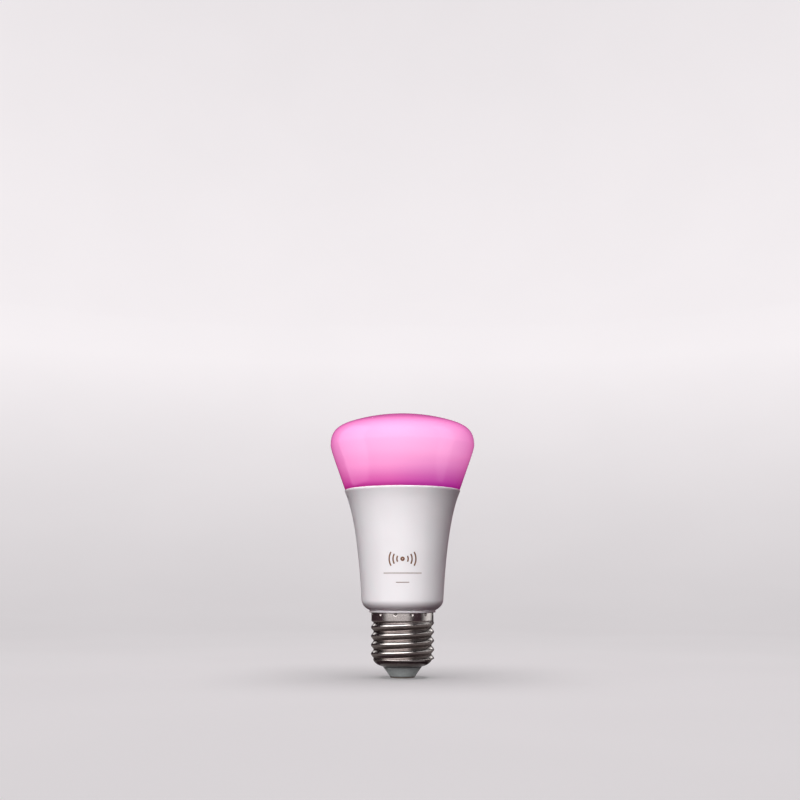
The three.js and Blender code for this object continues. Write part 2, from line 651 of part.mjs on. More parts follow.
// An insulating sleeve that stands on the housing's floor, with two rails for each edge of the driver board.
function driverLiner() {
  const sleeve = turnedRing([
    at(LINER_FOOT_R - LINER_WALL, FLOOR_Z),
    at(LINER_FOOT_R, FLOOR_Z),
    at(LINER_R, BOARD_STEP_Z),
    at(LINER_R, LID_Z),
    at(LINER_INNER_R, LID_Z),
    at(LINER_INNER_R, BOARD_STEP_Z),
  ]);
  const rails = [BOARD_FRONT_Y - SLIP - LINER_RAIL.thickness, BOARD_BACK_Y + SLIP].flatMap((y) => {
    const root = Math.sqrt(LINER_INNER_R ** 2 - y ** 2) + LINER_WALL / 2;
    const tip = halfWidthIn(LINER_INNER_R) - LINER_RAIL.grip;
    const deep = [y, y + LINER_RAIL.thickness];
    const right = block([tip, root], deep, [BOARD_STEP_Z + SLIP, LID_Z]);
    const left = block([-root, -tip], deep, [BOARD_STEP_Z + SLIP, LID_Z]);
    return [left, right];
  });
  return join(sleeve, ...rails);
}

add("driver_liner", driverLiner(), LINER_FINISH());
add("liner_lid", windowedPlate(LINER_R, LID_Z, LID_TOP_Z), LINER_FINISH());

// ---------------------------------------------------------------- driver board

function driverBoard() {
  const neck = halfWidthIn(NECK_INNER_R) - 1;
  const wide = halfWidthIn(LINER_INNER_R);
  const half = [
    at(neck, BOARD_FOOT_Z),
    at(neck, BOARD_STEP_Z + 2 * SLIP),
    at(wide, BOARD_STEP_Z + 2 * SLIP),
    at(wide, BOARD_TOP_Z),
  ];
  const mirrored = half.map((p) => at(-p.x, p.y)).reverse();
  return upright([...half, ...mirrored], [BOARD_FRONT_Y, BOARD_BACK_Y]);
}

add("driver_board", driverBoard(), GREEN_BOARD());

// ---------------------------------------------------------------- parts on the driver board

// They stand in three rows and are drawn at full size: x across the board, y from the face they sit on and z
// from the foot of the lowest row. A shorter or slimmer bulb squeezes them to fit.
const FRONT = -1;
const BACK = 1;
const MIDDLE_ROW = CHOKE.length + PART_GAP;
const UPPER_ROW = MIDDLE_ROW + FILM_CAP.height + PART_GAP;
const PARTS_LOW_Z = BOARD_STEP_Z + PART_GAP;
const PARTS_ROOM = RADIO_LOW_Z - PART_GAP / 2 - PARTS_LOW_Z;
const SHORTER = Math.min(1, PARTS_ROOM / (UPPER_ROW + CORE.height));
const SLIMMER = Math.min(1, (LINER_INNER_R - SLIP) / PARTS_REACH);

function addPart(name, side, geometry, material) {
  const face = side === FRONT ? BOARD_FRONT_Y : BOARD_BACK_Y;
  add(name, geometry.scale(SLIMMER, SLIMMER, SHORTER).translate(0, face, PARTS_LOW_Z), material);
}

const boxPart = (side, x, depth, z) => block(x, side === FRONT ? [-depth, 0] : [0, depth], z);

// A round body whose axis is upright, beside the board.
const roundPart = (side, points, diameter, x, z, make = turned) =>
  make(points, SMALL_ROUND).translate(x, side * (diameter / 2 + TOUCH), z);

// A capacitor can, with a groove rolled in near its top.
function can(side, { diameter, length, x }, z) {
  const r = diameter / 2;
  const waist = r - CAN_CRIMP;
  const profile = [
    at(0, 0),
    at(waist, 0),
    at(r, CAN_CRIMP),
    at(r, length - 4 * CAN_CRIMP),
    at(waist, length - 3 * CAN_CRIMP),
    at(r, length - 2 * CAN_CRIMP),
    at(waist, length),
    at(0, length),
  ];
  return roundPart(side, profile, diameter, x, z);
}

addPart("bulk_capacitor", FRONT, can(FRONT, BULK_CAP, 0), CAN_SLEEVE());
addPart("output_capacitor", BACK, can(BACK, OUTPUT_CAP, UPPER_ROW), CAN_SLEEVE());

// Filter choke: a drum core with its winding in the waist.
function chokeCore() {
  const outer = CHOKE.diameter / 2;
  const waist = CHOKE.waist / 2;
  const profile = [
    at(0, 0),
    at(outer, 0),
    at(outer, CHOKE.flange),
    at(waist, CHOKE.flange),
    at(waist, CHOKE.length - CHOKE.flange),
    at(outer, CHOKE.length - CHOKE.flange),
    at(outer, CHOKE.length),
    at(0, CHOKE.length),
  ];
  return roundPart(FRONT, profile, CHOKE.diameter, CHOKE.x, 0);
}

function chokeWinding() {
  const inner = CHOKE.waist / 2 + TOUCH;
  const outer = CHOKE.winding / 2;
  const low = CHOKE.flange + TOUCH;
  const high = CHOKE.length - low;
  const profile = [at(inner, low), at(outer, low), at(outer, high), at(inner, high)];
  return roundPart(FRONT, profile, CHOKE.diameter, CHOKE.x, 0, turnedRing);
}

addPart("choke_core", FRONT, chokeCore(), FERRITE());
addPart("choke_winding", FRONT, chokeWinding(), COPPER());

const filmZ = [MIDDLE_ROW, MIDDLE_ROW + FILM_CAP.height];
const powerZ = [MIDDLE_ROW + 1, MIDDLE_ROW + 1 + POWER_CHIP.height];
const lightZ = [UPPER_ROW + 1, UPPER_ROW + 1 + LIGHT_CHIP.height];
addPart("film_capacitor", FRONT, boxPart(FRONT, FILM_CAP.x, FILM_CAP.depth, filmZ), FILM_CASE());
addPart("bridge_rectifier", BACK, boxPart(BACK, RECTIFIER.x, RECTIFIER.depth, RECTIFIER.z), BLACK_PLASTIC());
addPart("power_controller", BACK, boxPart(BACK, POWER_CHIP.x, POWER_CHIP.depth, powerZ), BLACK_PLASTIC());
addPart("light_controller", BACK, boxPart(BACK, LIGHT_CHIP.x, LIGHT_CHIP.depth, lightZ), BLACK_PLASTIC());

const varistorDisc = disc(VARISTOR.diameter / 2, 0, VARISTOR.thickness, SMALL_ROUND)
  .rotateX(-Math.PI / 2)
  .translate(VARISTOR.x, TOUCH, VARISTOR.z);
addPart("surge_varistor", BACK, varistorDisc, VARISTOR_COAT());

// Transformer: a ferrite core with two windows, the taped winding round its middle leg, and a bobbin plate.
const CORE_BACK = -BOBBIN.thickness - WINDING_PROUD - TOUCH;
const CORE_FRONT = CORE_BACK - CORE.depth;
const WINDOW_LOW = UPPER_ROW + CORE.yoke;
const WINDOW_HIGH = UPPER_ROW + CORE.height - CORE.yoke;
const WINDOW_OUTER = CORE.width / 2 - CORE.leg;

function transformerCore() {
  const whole = block(both(CORE.width / 2), [CORE_FRONT, CORE_BACK], [UPPER_ROW, UPPER_ROW + CORE.height]);
  const through = [CORE_FRONT - 1, CORE_BACK + 1];
  const left = block([-WINDOW_OUTER, -CORE.middle / 2], through, [WINDOW_LOW, WINDOW_HIGH]);
  const right = block([CORE.middle / 2, WINDOW_OUTER], through, [WINDOW_LOW, WINDOW_HIGH]);
  return cut(whole, left, right);
}

function transformerWinding() {
  const deep = [CORE_FRONT - WINDING_PROUD, CORE_BACK + WINDING_PROUD];
  const whole = block(both(WINDOW_OUTER - TOUCH), deep, [WINDOW_LOW + TOUCH, WINDOW_HIGH - TOUCH]);
  const legDeep = [CORE_FRONT - TOUCH, CORE_BACK + TOUCH];
  return cut(whole, block(both(CORE.middle / 2 + TOUCH), legDeep, [WINDOW_LOW, WINDOW_HIGH]));
}

const bobbinZ = [UPPER_ROW + BOBBIN.margin, UPPER_ROW + CORE.height - BOBBIN.margin];
addPart("transformer_core", FRONT, transformerCore(), FERRITE());
addPart("transformer_winding", FRONT, transformerWinding(), YELLOW_TAPE());
addPart(
  "transformer_bobbin",
  FRONT,
  boxPart(FRONT, both(BOBBIN.width / 2), BOBBIN.thickness, bobbinZ),
  BLACK_PLASTIC(),
);

// Fusible resistor in the neck, with its two end leads.
function mainsFuse() {
  const outer = FUSE.diameter / 2;
  const waist = FUSE.waist / 2;
  const lead = FUSE.lead / 2;
  const cap = outer;
  const lower = [
    at(0, -FUSE.leadLength),
    at(lead, -FUSE.leadLength),
    at(lead, 0),
    at(waist, 0),
    at(outer, outer - waist),
    at(outer, cap),
    at(waist, cap + outer - waist),
  ];
  const upper = lower.map((p) => at(p.x, FUSE.length - p.y)).reverse();
  const y = BOARD_FRONT_Y - outer - TOUCH;
  return turned([...lower, ...upper], SMALL_ROUND).translate(0, y, BOARD_FOOT_Z + FUSE.rise);
}

add("mains_fuse", mainsFuse(), FUSE_COAT());

// ---------------------------------------------------------------- pins and socket

const PIN_Y = (BOARD_FRONT_Y + BOARD_BACK_Y) / 2;

// One square pin at each place in the row, or its hole with a gap round it.
const pins = (low, high, gap = 0) =>
  Array.from({ length: PIN_COUNT }, (_, i) => {
    const side = both(PIN_SIZE / 2 + gap);
    return block(side, side, [low, high]).translate(i * PIN_STEP - PINS_HALF, PIN_Y, 0);
  });

function pinHeader() {
  const top = BOARD_TOP_Z + HEADER.height;
  const deep = [PIN_Y - HEADER.depth / 2, PIN_Y + HEADER.depth / 2];
  const base = block(both(PINS_HALF + HEADER.margin), deep, [BOARD_TOP_Z, top]);
  return join(base, ...pins(top - HEADER.height / 2, LIGHT_FACE_Z + 0.6 * SOCKET.height));
}

function ledSocket() {
  const across = both(PINS_HALF + SOCKET.margin);
  const body = block(across, [SOCKET.front, SOCKET.back], [LIGHT_FACE_Z, LIGHT_FACE_Z + SOCKET.height]);
  return cut(body, ...pins(LIGHT_FACE_Z - 1, LIGHT_FACE_Z + 0.75 * SOCKET.height, TOUCH));
}

add("led_pin_header", pinHeader(), BLACK_PLASTIC());
add("led_socket", ledSocket(), CREAM_PLASTIC());

// ---------------------------------------------------------------- radio board

const RADIO_HALF = (RADIO_BOARD.width * CROWDING) / 2;
const RADIO_BACK_Y = RADIO_BOARD.thickness / 2;
const RADIO_FRONT_Y = -RADIO_BACK_Y;

// A box on the radio board's front, as wide as asked or as the board allows.
function onRadio(width, depth, z) {
  return block(both((width * CROWDING) / 2), [RADIO_FRONT_Y - depth, RADIO_FRONT_Y], z);
}

// A copper line that runs to and fro up the board.
function radioAntenna() {
  const { line, thickness, pitch, rungs, margin } = ANTENNA;
  const deep = [RADIO_FRONT_Y - thickness, RADIO_FRONT_Y];
  const half = RADIO_HALF - margin;
  const low = RADIO_HIGH_Z - margin - line - (rungs - 1) * pitch;
  const rows = Array.from({ length: rungs }, (_, i) =>
    block(both(half), deep, [0, line]).translate(0, 0, low + i * pitch),
  );
  const turns = Array.from({ length: rungs - 1 }, (_, i) => {
    const x = i % 2 === 0 ? [half - line, half] : [-half, line - half];
    return block(x, deep, [0, pitch + line]).translate(0, 0, low + i * pitch);
  });
  return join(...rows, ...turns);
}

const radioHeaderX = both((RADIO_HEADER.width * CROWDING) / 2);
const radioHeaderZ = [RADIO_LOW_Z + RADIO_HEADER.rise, RADIO_LOW_Z + RADIO_HEADER.rise + RADIO_HEADER.height];
const shieldZ = [RADIO_LOW_Z + SHIELD.margin, LID_Z - SHIELD.margin];
const crystalZ = [LID_TOP_Z + CRYSTAL.rise, LID_TOP_Z + CRYSTAL.rise + CRYSTAL.height];
add("radio_board", block(both(RADIO_HALF), both(RADIO_BACK_Y), [RADIO_LOW_Z, RADIO_HIGH_Z]), GREEN_BOARD());
add("radio_header", block(radioHeaderX, [RADIO_BACK_Y, BOARD_FRONT_Y], radioHeaderZ), BLACK_PLASTIC());
add("radio_shield", onRadio(SHIELD.width, SHIELD.depth, shieldZ), SHIELD_FINISH());
add("radio_crystal", onRadio(CRYSTAL.width, CRYSTAL.depth, crystalZ), SHIELD_FINISH());
add("radio_antenna", radioAntenna(), COPPER());

// ---------------------------------------------------------------- leads from the driver board to the cap

const LEAD_R = LEAD_DIAMETER / 2;
const LEAD_Y = BOARD_FRONT_Y - LEAD_R - TOUCH;
const LEAD_END_Z = BOARD_FOOT_Z + LEAD_RISE;
const NOTCH_Z = NECK_FOOT_Z + LEAD_NOTCH.height / 2;
const GROOVE_X = LEAD_GROOVE.depth - NECK_R - LEAD_R - TOUCH;

// The live lead ends on top of the centre contact's rivet.
function liveLead() {
  return wire(
    [
      [LIVE_LEAD_X, LEAD_Y, LEAD_END_Z],
      [LIVE_LEAD_X, LEAD_Y, BOARD_FOOT_Z],
      [LIVE_LEAD_X / 2, LEAD_Y / 2, RIVET_TOP_Z + 4 * LEAD_R],
      [0, 0, RIVET_TOP_Z + 3 * LEAD_R],
      [0, 0, RIVET_TOP_Z + BOND_GAP],
    ],
    14,
  );
}

// The neutral lead goes out through the neck's notch and up its groove, against the shell.
function neutralLead() {
  return wire(
    [
      [NEUTRAL_LEAD_X, LEAD_Y, LEAD_END_Z],
      [NEUTRAL_LEAD_X, LEAD_Y, BOARD_FOOT_Z],
      [(NEUTRAL_LEAD_X - NECK_INNER_R) / 2, LEAD_Y / 3, NOTCH_Z - LEAD_R],
      [-NECK_INNER_R, 0, NOTCH_Z - LEAD_R / 2],
      [GROOVE_X, 0, NOTCH_Z + 2 * LEAD_R],
      [GROOVE_X, 0, NECK_FOOT_Z + LEAD_GROOVE.length - LEAD_R],
    ],
    20,
  );
}

add("live_lead", liveLead(), RED_WIRE());
add("neutral_lead", neutralLead(), BLUE_WIRE());

export default bulb;
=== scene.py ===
"""Looks of a smart light bulb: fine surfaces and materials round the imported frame, with a plain studio."""

import json
import math

import bpy
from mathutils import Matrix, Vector


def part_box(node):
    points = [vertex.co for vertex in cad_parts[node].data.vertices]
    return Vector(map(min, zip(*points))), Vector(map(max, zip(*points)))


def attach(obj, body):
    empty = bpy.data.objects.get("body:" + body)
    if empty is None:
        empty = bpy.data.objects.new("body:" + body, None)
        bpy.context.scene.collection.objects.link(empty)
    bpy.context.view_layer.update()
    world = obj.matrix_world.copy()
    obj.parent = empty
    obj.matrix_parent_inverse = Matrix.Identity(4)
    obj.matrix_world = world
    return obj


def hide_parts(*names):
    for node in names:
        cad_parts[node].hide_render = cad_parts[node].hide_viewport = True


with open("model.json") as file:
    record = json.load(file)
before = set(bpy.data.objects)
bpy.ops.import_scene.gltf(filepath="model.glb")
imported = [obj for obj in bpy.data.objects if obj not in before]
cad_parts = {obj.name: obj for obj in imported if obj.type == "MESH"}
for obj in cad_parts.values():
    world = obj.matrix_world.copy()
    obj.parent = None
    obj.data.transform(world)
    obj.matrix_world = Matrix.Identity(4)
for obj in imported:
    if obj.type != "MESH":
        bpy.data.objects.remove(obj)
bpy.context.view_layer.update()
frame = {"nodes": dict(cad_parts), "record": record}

MM = 0.001
FINE = 0.00001  # metres, the depth of a fine surface
NODES = frame["nodes"]
SLOTS = {s["node"]: s["material_slot"] for s in frame["record"]["subparts"]}


# ---------------------------------------------------------------- sizes read from the frame, in millimetres

housing_low, housing_high = (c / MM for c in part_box("housing"))
dome_low, dome_high = (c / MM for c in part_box("diffuser_dome"))
shell_low, shell_high = (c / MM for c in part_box("cap_shell"))
insulator_low, insulator_high = (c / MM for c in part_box("cap_insulator"))
contact_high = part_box("centre_contact")[1] / MM

RIM_R = housing_high.x
RIM_Z = housing_high.z
NECK_Z = housing_low.z
DOME_R = dome_high.x
TOP_Z = dome_high.z
SKIRT_Z = dome_low.z
SEAT_Z = shell_high.z
MOUTH_Z = shell_low.z
CONTACT_R = contact_high.x
INSULATOR_Z = insulator_low.z


# ---------------------------------------------------------------- mesh helpers


def new_object(name, vertices, faces, sharp_degrees=32):
    """A smooth object from points in millimetres, with edges kept sharp above an angle."""
    mesh = bpy.data.meshes.new(name)
    mesh.from_pydata([tuple(c * MM for c in v) for v in vertices], [], faces)
    mesh.validate()
    mesh.polygons.foreach_set("use_smooth", [True] * len(mesh.polygons))
    mesh.set_sharp_from_angle(angle=math.radians(sharp_degrees))
    piece = bpy.data.objects.new(name, mesh)
    bpy.context.scene.collection.objects.link(piece)
    return piece


def grid(sections):
    """Joins sections of equal length, each a closed loop of points, into one closed surface."""
    rows = len(sections[0])
    vertices = [p for s in sections for p in s]
    faces = []
    for i in range(len(sections)):
        here, following = i * rows, ((i + 1) % len(sections)) * rows
        for j in range(rows):
            up = (j + 1) % rows
            faces.append((here + j, following + j, following + up, here + up))
    return vertices, faces


def revolve(name, profile, segments=160, sharp_degrees=32):
    """A (radius, height) profile turned about Z, up its outside. A point on the axis closes it there."""
    vertices, faces, rings = [], [], []
    for r, z in profile:
        if r == 0:
            rings.append([len(vertices)])
            vertices.append((0, 0, z))
            continue
        rings.append([len(vertices) + k for k in range(segments)])
        for k in range(segments):
            a = 2 * math.pi * k / segments
            vertices.append((r * math.cos(a), r * math.sin(a), z))
    pairs = list(zip(rings, rings[1:]))
    if profile[0][0] > 0 and profile[-1][0] > 0:
        pairs.append((rings[-1], rings[0]))
    for low, high in pairs:
        for k in range(segments):
            n = (k + 1) % segments
            if len(low) == 1 and len(high) > 1:
                faces.append((low[0], high[n], high[k]))
            elif len(high) == 1 and len(low) > 1:
                faces.append((low[k], low[n], high[0]))
            elif len(low) > 1:
                faces.append((low[k], low[n], high[n], high[k]))
    return new_object(name, vertices, faces, sharp_degrees)


def bezier(points, steps):
    """Points along a quadratic or cubic Bezier curve."""
    out = []
    for i in range(steps + 1):
        level, t = [Vector(p) for p in points], i / steps
        while len(level) > 1:
            level = [a.lerp(b, t) for a, b in zip(level, level[1:])]
        out.append(tuple(level[0]))
    return out


def smoothstep(low, high, x):
    t = min(1.0, max(0.0, (x - low) / (high - low)))
    return t * t * (3 - 2 * t)


def place(piece, node, material):
    """Puts a finished piece on the body in place of its CAD node."""
    piece.data.materials.append(material)
    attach(piece, "root")
    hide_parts(node)
    return piece


# ---------------------------------------------------------------- material helpers


class Nodes:
    """A material whose node tree is built in short steps."""

    def __init__(self, name):
        self.material = bpy.data.materials.new(name)
        self.material.use_nodes = True
        self.tree = self.material.node_tree
        self.shader = self.tree.nodes["Principled BSDF"]
        self.coordinates = self.tree.nodes.new("ShaderNodeTexCoord").outputs["Object"]

    def add(self, kind, inputs=None, **settings):
        node = self.tree.nodes.new(kind)
        for key, value in settings.items():
            setattr(node, key, value)
        for key, value in (inputs or {}).items():
            self.put(node.inputs[key], value)
        return node

    def put(self, socket, value):
        if isinstance(value, bpy.types.NodeSocket):
            self.tree.links.new(value, socket)
        else:
            socket.default_value = value

    def set(self, **values):
        for key, value in values.items():
            self.put(self.shader.inputs[key.replace("_", " ")], value)
        return self

    def scaled(self, scale):
        node = self.add("ShaderNodeMapping", {"Vector": self.coordinates, "Scale": scale})
        return node.outputs["Vector"]

    def noise(self, scale, detail=4.0, roughness=0.55, stretch=(1, 1, 1)):
        node = self.add(
            "ShaderNodeTexNoise",
            {"Vector": self.scaled(stretch), "Scale": scale, "Detail": detail, "Roughness": roughness},
        )
        return node.outputs["Fac"]

    def ramp(self, factor, stops, interpolation="EASE"):
        node = self.add("ShaderNodeValToRGB", {"Fac": factor})
        node.color_ramp.interpolation = interpolation
        elements = node.color_ramp.elements
        while len(elements) < len(stops):
            elements.new(0.5)
        for element, (position, colour) in zip(elements, stops):
            element.position = position
            element.color = (*colour, 1.0)
        return node.outputs["Color"]

    def range(self, value, low, high, to_low=0.0, to_high=1.0):
        inputs = {"Value": value, "From Min": low, "From Max": high, "To Min": to_low, "To Max": to_high}
        return self.add("ShaderNodeMapRange", inputs).outputs["Result"]

    def ease(self, value, low, high):
        inputs = {"Value": value, "From Min": low, "From Max": high}
        return self.add("ShaderNodeMapRange", inputs, interpolation_type="SMOOTHSTEP").outputs["Result"]

    def math(self, operation, a, b=0.0):
        node = self.add("ShaderNodeMath", operation=operation)
        self.put(node.inputs[0], a)
        self.put(node.inputs[1], b)
        return node.outputs["Value"]

    def product(self, value, *factors):
        for factor in factors:
            value = self.math("MULTIPLY", value, factor)
        return value

    def between(self, value, low, high, edge):
        """One between low and high, easing to nothing over an edge inside each."""
        return self.product(self.ease(value, low, low + edge), self.ease(value, high, high - edge))

    def axes(self):
        split = self.add("ShaderNodeSeparateXYZ", {"Vector": self.coordinates})
        return [split.outputs[axis] for axis in "XYZ"]

    def mix(self, factor, a, b):
        node = self.add("ShaderNodeMix", data_type="RGBA")
        self.put(node.inputs["Factor"], factor)
        sockets = {socket.identifier: socket for socket in [*node.inputs, *node.outputs]}
        self.put(sockets["A_Color"], a)
        self.put(sockets["B_Color"], b)
        return sockets["Result_Color"]

    def bump(self, height, strength, distance):
        node = self.add("ShaderNodeBump", {"Height": height, "Strength": strength, "Distance": distance})
        self.put(self.shader.inputs["Normal"], node.outputs["Normal"])
        return self


def linear(*srgb):
    """An 8-bit sRGB colour as linear values."""
    return tuple(((c / 255 + 0.055) / 1.055) ** 2.4 if c > 10 else c / 255 / 12.92 for c in srgb)


def shade(colour, factor):
    """A linear colour made darker or lighter."""
    return tuple(min(1.0, c * factor) for c in colour)


def plastic(name, colour, roughness, grain=1800.0, depth=FINE, vary=0.06):
    """Moulded plastic: a fine spark-eroded grain, with slow changes in tone and gloss."""
    m = Nodes(name)
    tone = m.ramp(m.noise(45.0, 2.0), [(0.3, shade(colour, 1 - vary)), (0.7, shade(colour, 1 + vary))])
    gloss = m.range(m.noise(160.0, 3.0), 0.3, 0.7, roughness - 0.05, roughness + 0.05)
    m.set(Base_Color=tone, Roughness=gloss)
    return m.bump(m.noise(grain, 3.0), 0.25, depth).material


def metal(name, colour, roughness, stretch=(1, 1, 1), grain=900.0, vary=0.12):
    """Plated or drawn metal: streaks along the way it was worked, and slow changes in tone."""
    m = Nodes(name)
    streaks = m.noise(grain, 5.0, 0.65, stretch)
    tone = m.ramp(m.noise(60.0, 3.0), [(0.3, shade(colour, 1 - vary)), (0.7, shade(colour, 1 + vary))])
    gloss = m.range(streaks, 0.3, 0.7, roughness - 0.06, roughness + 0.08)
    m.set(Base_Color=tone, Roughness=gloss, Metallic=1.0)
    return m.bump(streaks, 0.12, FINE).material


def circuit_board(name, colour, copper):
    """Solder mask over a weave of glass cloth, with the tone of the tracks showing through."""
    m = Nodes(name)
    weave = m.add("ShaderNodeTexWave", {"Vector": m.coordinates, "Scale": 900.0, "Distortion": 1.5})
    cells = m.add("ShaderNodeTexVoronoi", {"Vector": m.coordinates, "Scale": 420.0}, distance="MANHATTAN")
    tracks = m.range(cells.outputs["Distance"], 0.32, 0.36)
    tone = m.mix(tracks, (*shade(colour, 0.8), 1.0), (*colour, 1.0))
    speckle = m.range(m.noise(2600.0, 2.0), 0.66, 0.7)
    m.set(Base_Color=m.mix(speckle, tone, (*copper, 1.0)), Roughness=m.range(tracks, 0.0, 1.0, 0.32, 0.42))
    return m.bump(weave.outputs["Fac"], 0.1, FINE).material


def package(name, lens, body):
    """A light package: grainy phosphor or lens, with patches of its moulded body."""
    m = Nodes(name)
    grainy = m.noise(5200.0, 3.0)
    tone = m.ramp(grainy, [(0.35, shade(lens, 0.85)), (0.65, shade(lens, 1.1))])
    m.set(Base_Color=m.mix(m.range(m.noise(900.0, 1.0), 0.62, 0.66), tone, (*body, 1.0)))
    m.set(Roughness=m.range(grainy, 0.3, 0.7, 0.22, 0.4))
    return m.bump(grainy, 0.15, FINE).material


WAVE_SCALE = 1 / 6.28  # at this scale a wave texture's bands stand about two pitches apart


def wound(name, colour, pitch, roughness, metallic=0.0):
    """A winding, or tape laid in turns: bands across its axis."""
    m = Nodes(name)
    bands = m.add(
        "ShaderNodeTexWave",
        {"Vector": m.coordinates, "Scale": WAVE_SCALE / (pitch * MM), "Distortion": 0.4, "Detail": 2.0},
        bands_direction="Z",
    ).outputs["Fac"]
    m.set(
        Base_Color=m.ramp(bands, [(0.1, shade(colour, 0.55)), (0.7, colour)]),
        Roughness=m.range(bands, 0.0, 1.0, roughness + 0.15, roughness),
        Metallic=metallic,
    )
    return m.bump(bands, 0.5, 0.00008).material


# ---------------------------------------------------------------- the dome


def dome_material():
    """Opal plastic lit from inside: a deep pink glow, which is strongest where the packages shine straight
    on it. Low on one side the glow turns violet. Its base colour is painted light: pale pink from the glow,
    violet on that side, and painted shade that darkens it towards the rim. Its skin is glossy."""
    m = Nodes("opal_lit")
    x, y, z = m.axes()
    height = m.range(z, RIM_Z * MM, TOP_Z * MM)
    glow = m.ramp(
        height,
        [
            (0.000, (0.46, 0.030, 0.28)),
            (0.045, (0.63, 0.110, 0.43)),
            (0.150, (0.76, 0.270, 0.56)),
            (0.280, (0.85, 0.400, 0.66)),
            (0.440, (0.88, 0.465, 0.71)),
            (0.700, (0.88, 0.465, 0.73)),
            (1.000, (0.80, 0.300, 0.60)),
        ],
        "LINEAR",
    )
    # The base colour is painted light: pink from the glow inside, with painted shade darkening it towards the
    # rim.
    skin = m.ramp(
        height,
        [
            (0.00, (0.10, 0.015, 0.05)),
            (0.10, (0.26, 0.065, 0.14)),
            (0.28, (0.44, 0.240, 0.31)),
            (0.50, (0.52, 0.360, 0.42)),
            (1.00, (0.50, 0.330, 0.40)),
        ],
    )
    side = m.math("ADD", m.math("MULTIPLY", x, 0.86), m.math("MULTIPLY", y, -0.5))
    turned = m.range(side, 0.008, 0.034)
    low = m.range(height, 0.0, 0.4, 1.0, 0.0)
    violet = m.product(turned, low, 0.7)
    drift = m.range(m.noise(28.0, 1.0), 0.35, 0.65, 0.97, 1.03)
    # The violet low on one side goes into the glow and, as painted light, into the base colour too.
    m.set(
        Base_Color=m.mix(violet, skin, (0.16, 0.04, 0.2, 1.0)),
        Roughness=m.range(m.noise(900.0, 2.0), 0.3, 0.7, 0.1, 0.14),
        Emission_Color=m.mix(violet, glow, (0.26, 0.012, 0.32, 1.0)),
        Emission_Strength=drift,
        IOR=1.5,
        Coat_Weight=1.0,
        Coat_IOR=1.06,
        Coat_Roughness=0.15,
        Coat_Tint=(0.88, 0.64, 0.8, 1.0),
    )
    return m.bump(m.noise(1400.0, 2.0), 0.03, FINE).material


SEAM = 0.45  # the bevel where the dome meets the rim
SEAM_BREAK = 0.08  # how far the bevel's ends are rounded
DOME_WALL = 1.5
SKIRT_INSET = 2.9  # the rim's outside to the skirt that is glued into it
SKIRT_BREAK = 0.2
WIDEST_DROP = 13.1  # the crown's top down to the widest place
CONE_PULL = 1.3  # below the widest place, where the cone would end if it ran on
CONE_STRAIGHT = 0.7  # share of the cone that is straight
CORNER_PULL = 5.37  # how strongly the corner rises from the widest place
CORNER_REACH = 0.16  # how strongly it comes down from the crown, as a share of the widest radius
CROWN_SHARE = 0.766  # share of the widest radius that the crown covers
CROWN_DROP = 3.8
CROWN_SLOPE = 0.34  # at the crown's edge


def dome_outline(inset):
    """The dome from the seam up to the axis: a cone, a turn to the widest place, a corner and a low crown."""
    foot = Vector((RIM_R - inset, RIM_Z + SEAM + inset))
    widest = Vector((DOME_R - inset, TOP_Z - WIDEST_DROP))
    top = Vector((0, TOP_Z - inset))
    cone_end = widest - Vector((0, CONE_PULL))
    cone_top = foot.lerp(cone_end, CONE_STRAIGHT)
    edge = Vector((CROWN_SHARE * widest.x, top.y - CROWN_DROP))
    reach = CORNER_REACH * widest.x
    cone = [tuple(foot.lerp(cone_top, t / 8)) for t in range(8)]
    turn = bezier([cone_top, cone_end, widest], 16)
    handle = edge + Vector((reach, -CROWN_SLOPE * reach))
    corner = bezier([widest, widest + Vector((0, CORNER_PULL)), handle, edge], 26)
    crown = bezier([edge, Vector((edge.x - CROWN_DROP / CROWN_SLOPE, top.y)), top], 24)
    return cone + turn + corner[1:] + crown[1:]


def make_dome():
    skirt_r = RIM_R - SKIRT_INSET
    inner_r = skirt_r - DOME_WALL
    foot = [
        (inner_r, RIM_Z + DOME_WALL),
        (inner_r, SKIRT_Z),
        (skirt_r - SKIRT_BREAK, SKIRT_Z),
        (skirt_r, SKIRT_Z + SKIRT_BREAK),
        (skirt_r, RIM_Z),
        (RIM_R - SEAM, RIM_Z),
        (RIM_R - SEAM + SEAM_BREAK, RIM_Z + 0.03),
        (RIM_R - SEAM_BREAK, RIM_Z + SEAM - 0.1),
    ]
    profile = dome_outline(DOME_WALL)[::-1] + foot + dome_outline(0)
    return place(revolve("dome_skin", profile, 192), "diffuser_dome", dome_material())


# ---------------------------------------------------------------- the housing


def housing_material():
    """Satin white plastic with a very fine grain and a little light passing through it."""
    m = Nodes("housing_satin")
    tone = m.ramp(m.noise(30.0, 2.0), [(0.3, linear(240, 237, 239)), (0.7, linear(246, 244, 246))])
    m.set(
        Base_Color=tone,
        Roughness=m.range(m.noise(240.0, 3.0), 0.3, 0.7, 0.42, 0.5),
        Subsurface_Weight=0.12,
        Subsurface_Radius=(1.0, 0.75, 0.8),
        Subsurface_Scale=0.0012,
        IOR=1.46,
    )
    return m.bump(m.noise(3600.0, 3.0), 0.18, 0.000008).material


HOUSING_WALL = 1.6
FLARE_LOW = Vector((17.15, SEAT_Z + 5.2))
FLARE_HIGH = Vector((RIM_R, RIM_Z - 0.45))
NECK_BORE = 9.8
NECK_R = 11.3  # in the cap's thread
LAND_R = 12.4  # where the neck centres the collar
THROAT_R = 12.0  # between the land and the lip
LIP_R = 13.9  # the lip that sits on the collar
RIM_WALL = 2.3
RIM_DEPTH = 4.2  # from the rim down to the ledge inside it


def flare(inset, steps):
    """The housing's flare from the shoulder up to the rim, moved in by inset."""
    height = FLARE_HIGH.y - FLARE_LOW.y
    low, high = FLARE_LOW - Vector((inset, 0)), FLARE_HIGH - Vector((inset, 0))
    low_pull = 0.42 * height * Vector((0.06, 1))
    high_pull = 0.2 * height * Vector((0.45, 1))
    return bezier([low, low + low_pull, high - high_pull, high], steps)


